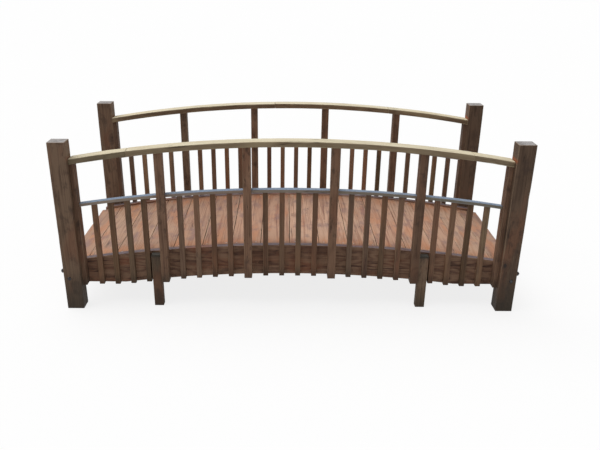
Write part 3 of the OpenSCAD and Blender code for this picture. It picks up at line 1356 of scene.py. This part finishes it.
@dataclass
class ArchBeams:
    """The two sawn beams with the ledgers that carry the planks."""

    finish: Material
    arris: float = 2.4 * MM
    ledger_w: float = 0.038
    ledger_d: float = 0.038
    ledger_inset: float = 0.020

    def build(self) -> None:
        """Build and dress the beams and ledgers."""
        for side in Side:
            self.beam(side)
            self.ledger(side)

    def beam(self, side: Side) -> None:
        """Build the beam of one side."""
        y = side.sign * (LAYOUT.beam_face_y - LAYOUT.beam_t / 2)

        def place(s: Array, u: Array, v: Array) -> Array:
            """Place points with s along the bridge, u up and v across it."""
            x = s - LAYOUT.half_l
            low, high = LAYOUT.beam_low(x), LAYOUT.beam_top(x)
            return np.stack((x, y + v, low + (u / LAYOUT.beam_d + 0.5) * (high - low)), 1)

        kinks = tuple(LAYOUT.half_l + sign * LAYOUT.seat_x for sign in (-1, 1))
        timber = Timber(
            2 * LAYOUT.half_l, LAYOUT.beam_d, LAYOUT.beam_t, arris=self.arris,
            step=0.02, across=0.014, breaks=kinks, dents=6,
        )
        name = f"arch_beam_{side.value}"
        one_timber(name, timber, place, self.finish, Slot.BEAM, pith=(0.02, 0.06), sawn=True)

    def ledger(self, side: Side) -> None:
        """Build the ledger of one side."""
        reach = LAYOUT.half_l - self.ledger_inset
        y = side.sign * (LAYOUT.beam_inner_y - self.ledger_w / 2)
        drop = LAYOUT.plank_t + LAYOUT.fit_gap
        crown, radius = LAYOUT.deck_crown_z - drop, LAYOUT.deck_r - drop
        timber = Timber(2 * reach, self.ledger_w, self.ledger_d, step=0.03, across=0.019)
        place = along_arc(-reach, y, crown, radius, self.ledger_d)
        one_timber(f"deck_ledger_{side.value}", timber, place, self.finish, Slot.BEAM)


@dataclass
class Deck:
    """The cross planks."""

    finish: Material
    plank_w: float = 0.155
    plank_gap: float = 0.003
    end_gap: float = 0.001
    overhang: float = 0.022
    side_planks: int = 7
    middle_planks: int = 2
    screw_inset: float = 0.026
    screw_spread: float = 0.052
    cup_mm: Span = (-0.5, 0.1)
    bow_mm: Span = (-0.6, 0.0)
    # Reach and share of the darker plank ends: earth and painted shade along the beams
    soil_y: Span = (0.40, 0.458)
    soil_share: float = 0.5
    bare_y: Span = (0.32, 0.43)
    bare_share: float = 0.35

    @property
    def length(self) -> float:
        """Length of a plank, across the bridge."""
        return 2 * (LAYOUT.beam_inner_y - self.end_gap)

    def rows(self) -> list[tuple[str, float, float]]:
        """List the planks.

        Returns:
            Solid, place along the curve and width of each plank, from left to right.
        """
        pitch = self.plank_w + self.plank_gap
        first = self.side_planks * pitch + self.plank_gap / 2
        reach = LAYOUT.half_l + self.overhang - LAYOUT.fit_gap
        half = LAYOUT.deck_r * math.asin(reach / LAYOUT.deck_r)
        found = []
        for end in End:
            for k in range(1, self.side_planks + 1):
                part = "middle" if k <= self.middle_planks else end.value
                found.append((f"deck_planks_{part}", end.sign * (k - 0.5) * pitch, self.plank_w))
            found.append((f"deck_planks_{end.value}", end.sign * (first + half) / 2, half - first))
        return sorted(found, key=lambda row: row[1])

    def lay(self, centre: float) -> Placer:
        """Lay a plank on the curve.

        Args:
            centre: Place of its middle along the curve.

        Returns:
            The way its points are placed.
        """
        turn = centre / LAYOUT.deck_r
        axis = LAYOUT.deck_crown_z - LAYOUT.deck_r

        def place(s: Array, u: Array, v: Array) -> Array:
            """Place points with s across the bridge, u along it and v up."""
            reach = LAYOUT.deck_r - LAYOUT.plank_t / 2 + v
            x = u * math.cos(turn) + reach * math.sin(turn)
            z = axis - u * math.sin(turn) + reach * math.cos(turn)
            return np.stack((x, s - self.length / 2, z), 1)

        return place

    def soil(self, at: Array) -> Array:
        """Darker plank ends along the beams: partly earth, partly painted shade where the planks meet the
        beams.
        """
        return self.soil_share * smooth(np.abs(at[:, 1]), *self.soil_y)

    def bare(self, at: Array) -> Array:
        """Orange bare patches at the plank ends."""
        return self.bare_share * smooth(np.abs(at[:, 1]), *self.bare_y)

    def build(self) -> None:
        """Build and dress the planks."""
        drafts: dict[str, Draft] = {}
        for k, ((node, centre, width), tone) in enumerate(zip(self.rows(), PLANK_TONES, strict=True)):
            draft = drafts.setdefault(node, Draft(node))
            label = f"plank {k}"
            rng = chance(label + " warp")
            timber = Timber(
                self.length, width, LAYOUT.plank_t, arris=2.4 * MM, step=0.02, across=0.014, dents=4,
                cup=rng.uniform(*self.cup_mm) * MM, bow=rng.uniform(*self.bow_mm) * MM,
            )
            draft.timber(
                timber, label, self.lay(centre), pith=(0.03, 0.06), tone=tone, dirt=self.soil, rust=self.bare,
            )
        for node, draft in drafts.items():
            mount(draft.piece(self.finish), Slot.DECK, node)


@dataclass
class GapEarthAndShade:
    """Earth packed in the gaps between the planks, dark partly as painted shade in the gaps."""

    finish: Material
    top_drop: float = 0.006
    depth: float = 0.012
    lap: float = 0.2 * MM
    pitch: float = 0.010
    heave: float = 0.0018
    heave_pitch: float = 0.05
    heave_row: float = 7.0
    section: tuple[tuple[int, int], ...] = ((-1, 1), (-1, 0), (0, 0), (1, 0), (1, 1))

    def build(self, deck: Deck) -> None:
        """Build and dress the soil.

        Args:
            deck: The planks with the gaps.
        """
        rows = deck.rows()
        points, faces = [], []
        corners = len(self.section)
        count = int(deck.length / self.pitch)
        s = np.linspace(0, deck.length, count + 1)
        top = LAYOUT.plank_t / 2 - self.top_drop
        for k, ((_, a, width_a), (_, b, width_b)) in enumerate(zip(rows, rows[1:])):
            place = deck.lay((a + width_a / 2 + b - width_b / 2) / 2)
            first = len(points)
            for j, (side, low) in enumerate(self.section):
                heave = self.heave * waver(s, self.heave_pitch, self.heave_row * k + j)
                v = top - low * self.depth + (1 - low) * heave
                u = np.full_like(s, side * (deck.plank_gap / 2 + self.lap))
                points += place(s, u, v).tolist()
            rings = np.arange(first, first + corners * (count + 1)).reshape(corners, count + 1)
            for i in range(count):
                for j in range(corners):
                    n = (j + 1) % corners
                    faces.append((rings[j][i], rings[n][i], rings[n][i + 1], rings[j][i + 1]))
            faces += [tuple(rings[::-1, 0]), tuple(rings[:, -1])]
        mesh = bpy.data.meshes.new("gap_dirt")
        mesh.from_pydata(points, [], [tuple(int(i) for i in f) for f in faces])
        mount(finish_mesh(mesh, self.finish), Slot.DECK)


@dataclass
class SupportLegs:
    """The short legs beside the outer rail posts."""

    finish: Material
    left_tone: Tone = (0.0, 0.0, 0.6)
    right_tone: Tone = (0.72, 0.2, 0.4)
    width: float = 0.050
    depth: float = 0.043
    top_drop: float = 0.008
    splash_z: float = 0.16
    splash_share: float = 0.6
    # Where the painted shade on the flat top starts and where it is full, below the top
    soil_drop: Span = (0.010, 0.002)

    def build(self) -> None:
        """Build and dress the legs."""
        edge = LAYOUT.bay_x(LAYOUT.bays) + LAYOUT.fit_gap
        top = height_at(LAYOUT.beam_top, edge + self.width) - self.top_drop

        def dirt(at: Array) -> Array:
            """Earth at the foot, and painted shade on the flat top."""
            foot = self.splash_share * (1 - smooth(at[:, 2], 0.0, self.splash_z))
            return foot + smooth(at[:, 2], *(top - drop for drop in self.soil_drop))

        for side, end in product(Side, End):
            x = end.sign * (edge + self.width / 2)
            y = side.sign * (LAYOUT.beam_face_y + self.depth / 2)
            timber = Timber(top, self.width, self.depth, arris=2.0 * MM, step=0.016, across=0.010, dents=3)
            tone = self.left_tone if end is End.LEFT else self.right_tone
            one_timber(
                f"support_leg_{side.value}_{end.value}", timber, upright(x, y, 0.0, top, flat_cut(top)),
                self.finish, Slot.POST, pith=(0.02, 0.03), tone=tone, dirt=dirt,
            )


# Profiles of the steel parts: radius and height of each ring in millimetres, with 0 for a closed end
Profile = tuple[Span, ...]
BOLT_DOME: Profile = tuple(
    (10 * math.cos(a), 0.9 + 4.2 * math.sin(a)) for a in np.radians((8, 24, 40, 56, 72))
)
BOLT_HEAD: Profile = ((0, -1), (10, -1), (10.2, 0.6), *BOLT_DOME, (0, 5.1))
WASHER: Profile = ((0, -0.5), (14, -0.5), (14.5, 0.4), (14.5, 1.6), (14, 2.1), (0, 2.1))
NUT: Profile = ((0, 2.2), (9.0, 2.2), (9.5, 3.0), (9.5, 10.6), (9.2, 11.6), (0, 11.7))
NUT_HEXES = (2, 3)
BOLT_END: Profile = (
    (0, 11), (5.5, 11), (5.9, 11.65), (5.5, 12.3), (5.9, 12.95), (5.5, 13.6), (5.9, 14.25),
    (5.2, 15.2), (0, 15.4),
)
SCREW: Profile = ((0, -1.2), (4.2, -1.2), (4.3, 0), (4.0, 0.35), (1.9, 0.5), (1.5, -0.5), (0, -0.8))


@dataclass
class Hardware:
    """Carriage bolts and nuts on the corner posts, and the deck screws."""

    steel: Material
    bright: Material
    turns: int = 36
    sharp: float = 38.0
    screw_sink: float = 0.3 * MM
    screw_stray_mm: Span = (3, 4)

    def lathe(
        self, shell: bmesh.types.BMesh, profile: Profile, matrix: Matrix, hexes: tuple[int, ...] = ()
    ) -> None:
        """Turn a profile round its axis and add it to a mesh.

        Args:
            shell: Mesh that takes the faces.
            profile: Radius and height of each ring in millimetres.
            matrix: Takes the axis to its place, with +Z outward.
            hexes: Numbers of the rings that are six-sided.
        """
        rings = []
        for k, (radius, height) in enumerate(profile):
            if radius == 0:
                rings.append([shell.verts.new(matrix @ Vector((0, 0, height * MM)))])
                continue
            ring = []
            for j in range(self.turns):
                a = 2 * math.pi * j / self.turns
                flat = (a + math.pi / 6) % (math.pi / 3) - math.pi / 6
                r = radius * MM / (math.cos(flat) if k in hexes else 1)
                ring.append(shell.verts.new(matrix @ Vector((r * math.cos(a), r * math.sin(a), height * MM))))
            rings.append(ring)
        for a, b in zip(rings, rings[1:]):
            for j in range(self.turns):
                n = (j + 1) % self.turns
                if len(a) == 1:
                    shell.faces.new((a[0], b[j], b[n]))
                elif len(b) == 1:
                    shell.faces.new((a[j], a[n], b[0]))
                else:
                    shell.faces.new((a[j], a[n], b[n], b[j]))

    def close(self, name: str, shell: bmesh.types.BMesh, material: Material) -> None:
        """Make a piece of the steel parts.

        Args:
            name: Name of the piece.
            shell: The parts' mesh, which is freed.
            material: Their finish.
        """
        mesh = bpy.data.meshes.new(name)
        shell.to_mesh(mesh)
        shell.free()
        thing = finish_mesh(mesh, material)
        thing.data.set_sharp_from_angle(angle=math.radians(self.sharp))
        mount(thing, Slot.STEEL)

    def build(self, posts: CornerPosts, deck: Deck) -> None:
        """Build and dress the bolts and screws.

        Args:
            posts: The corner posts that the bolts go through.
            deck: The planks that the screws hold.
        """
        for side, end in product(Side, End):
            self.post_bolts(side, end, posts)
        self.deck_screws(deck)

    def post_bolts(self, side: Side, end: End, posts: CornerPosts) -> None:
        """Build a bolt head on a post's outer face and a nut on its end face.

        Args:
            side: The post's side of the bridge.
            end: The post's end of the walk.
            posts: Sizes of the posts.
        """
        shell = bmesh.new()
        head = (end.sign * (LAYOUT.half_l - posts.bolt_inset), side.sign * LAYOUT.half_w, posts.bolt_z)
        face = Matrix.Rotation(-side.sign * math.pi / 2, 4, "X")
        self.lathe(shell, BOLT_HEAD, Matrix.Translation(head) @ face)
        nut = (end.sign * LAYOUT.half_l, side.sign * (LAYOUT.half_w - posts.nut_inset), posts.nut_z)
        cheek = Matrix.Translation(nut) @ Matrix.Rotation(end.sign * math.pi / 2, 4, "Y")
        for profile, hexes in ((WASHER, ()), (NUT, NUT_HEXES), (BOLT_END, ())):
            self.lathe(shell, profile, cheek, hexes)
        self.close(f"post_bolts_{side.value}_{end.value}", shell, self.steel)

    def deck_screws(self, deck: Deck) -> None:
        """Build the screw heads, four to a plank.

        Args:
            deck: The planks that the screws hold.
        """
        shell = bmesh.new()
        sunk = np.array([LAYOUT.plank_t / 2 - self.screw_sink])
        stray_s, stray_u = self.screw_stray_mm
        for k, (_, centre, width) in enumerate(deck.rows()):
            place = deck.lay(centre)
            rng = chance(f"screws {k}")
            turn = Matrix.Rotation(centre / LAYOUT.deck_r, 4, "Y")
            spots = product(
                (deck.screw_inset, deck.length - deck.screw_inset), (-deck.screw_spread, deck.screw_spread)
            )
            for s, u in spots:
                s = s + rng.uniform(-stray_s, stray_s) * MM
                u = u * width / deck.plank_w + rng.uniform(-stray_u, stray_u) * MM
                at = place(np.array([s]), np.array([u]), sunk)[0]
                self.lathe(shell, SCREW, Matrix.Translation(Vector(at)) @ turn)
        self.close("deck_screws", shell, self.bright)


@dataclass(frozen=True)
class Studio:
    """Floor, light and camera."""

    eye: Triple = (-0.0366, -4.1721, 1.7145)
    pitch: float = 26.06
    yaw: float = -0.40
    roll: float = -0.23
    focal: float = 731.27
    centre: Span = (277.99, 316.34)
    image: tuple[int, int] = (600, 450)
    sun: Triple = (-0.36, 0.16, 0.90)
    sun_strength: float = 2.35
    sun_angle: float = 70.0
    sky: float = 0.272
    floor_white: float = 0.82
    floor_grey: Rgb = (188, 188, 188)
    floor_reach: float = 80.0
    sensor: float = 36.0

    def build(self) -> None:
        """Set up the stage."""
        self.floor()
        self.light()
        self.camera()
        bpy.context.scene.view_settings.view_transform = "Standard"

    def seen(self, g: Graph) -> Socket:
        """Tell rays that show the background from those that light the bridge.

        Args:
            g: Node tree that takes the nodes.

        Returns:
            One for camera, glossy and transmission rays.
        """
        path = g.make("LightPath").outputs
        rays = g.math("MAXIMUM", path["Is Camera Ray"], path["Is Glossy Ray"])
        return g.math("MAXIMUM", rays, path["Is Transmission Ray"])

    def floor(self) -> None:
        """Lay a plain white floor that keeps the shadow."""
        material = bpy.data.materials.new("floor_white")
        g = Graph(material)
        seen = self.seen(g)
        grey = linear(self.floor_grey)
        colour = g.make("Mix", {0: seen, 6: grey, 7: WHITE}, data_type="RGBA").outputs[2]
        matt = g.make("BsdfDiffuse", {"Color": colour}).outputs[0]
        glow = g.make("Emission", {"Strength": 1.0}).outputs[0]
        both = g.make("MixShader", {0: g.times(seen, self.floor_white), 1: matt, 2: glow}).outputs[0]
        g.make("OutputMaterial", {"Surface": both})
        mesh = bpy.data.meshes.new("floor")
        corners = [(x * self.floor_reach, y * self.floor_reach, 0) for x, y in CORNERS]
        mesh.from_pydata(corners, [], [(0, 1, 2, 3)])
        mesh.materials.append(material)
        floor = bpy.data.objects.new("floor", mesh)
        bpy.context.scene.collection.objects.link(floor)

    def light(self) -> None:
        """Hang one broad soft lamp behind and above, and a plain sky."""
        lamp = bpy.data.lights.new("sky_lamp", "SUN")
        lamp.energy = self.sun_strength
        lamp.angle = math.radians(self.sun_angle)
        thing = bpy.data.objects.new("sky_lamp", lamp)
        thing.rotation_euler = Vector(self.sun).to_track_quat("Z", "Y").to_euler()
        bpy.context.scene.collection.objects.link(thing)
        world = bpy.data.worlds.new("sky")
        bpy.context.scene.world = world
        g = Graph(world)
        level = g.spread(self.seen(g), self.sky, 1.0)
        glow = g.make("Background", {"Color": WHITE, "Strength": level}).outputs[0]
        g.make("OutputWorld", {"Surface": glow})

    def camera(self) -> None:
        """Set the camera to the photograph's place, angle and framing."""
        p, y, r = (math.radians(a) for a in (self.pitch, self.yaw, self.roll))
        forward = Vector((math.sin(y) * math.cos(p), math.cos(y) * math.cos(p), -math.sin(p)))
        level = forward.cross(Vector((0, 0, 1))).normalized()
        down = forward.cross(level).normalized()
        right = level * math.cos(r) + down * math.sin(r)
        below = down * math.cos(r) - level * math.sin(r)
        data = bpy.data.cameras.new("camera")
        data.sensor_width = self.sensor
        data.lens = self.focal / self.image[0] * data.sensor_width
        data.shift_x = (self.image[0] / 2 - self.centre[0]) / self.image[0]
        data.shift_y = (self.centre[1] - self.image[1] / 2) / self.image[0]
        eye = bpy.data.objects.new("camera", data)
        turn = Matrix((right, -below, -forward)).transposed().to_4x4()
        eye.matrix_world = Matrix.Translation(self.eye) @ turn
        bpy.context.scene.collection.objects.link(eye)
        bpy.context.scene.camera = eye


def main() -> None:
    """Build the bridge piece by piece and set up the stage."""
    logging.basicConfig(level=logging.INFO, format="%(name)s %(message)s")
    post = POST_FINISH.material()
    posts, deck = CornerPosts(post), Deck(DECK_FINISH.material())
    posts.build()
    ArchBeams(BEAM_FINISH.material()).build()
    deck.build()
    GapEarthAndShade(EarthAndShadeFinish().material()).build(deck)
    looks = (post, RAIL_FINISH.material(), MID_RAIL_FINISH.material(), BALUSTER_FINISH.material())
    Railing(
        Side.FRONT, *looks, splices=(-0.825, 0.912), post_tones=FRONT_TONES, stile_tone=(0.46, 0.9, 0.0),
        rail_tones=((0.20, 0.3, 0.4), (0.62, 0.4, 0.3), (0.50, 0.4, 0.3)),
    ).build()
    Railing(
        Side.BACK, *looks, splices=(-0.092, 0.614), post_tones=BACK_TONES, stile_tone=(0.02, 0.8, 0.1),
        rail_tones=((0.18, 0.9, 0.1), (0.32, 0.9, 0.1), (0.26, 0.9, 0.1)),
    ).build()
    SupportLegs(post).build()
    Hardware(STEEL_FINISH.material(), SCREW_FINISH.material()).build(posts, deck)
    Studio().build()


if __name__ == "__main__":
    main()
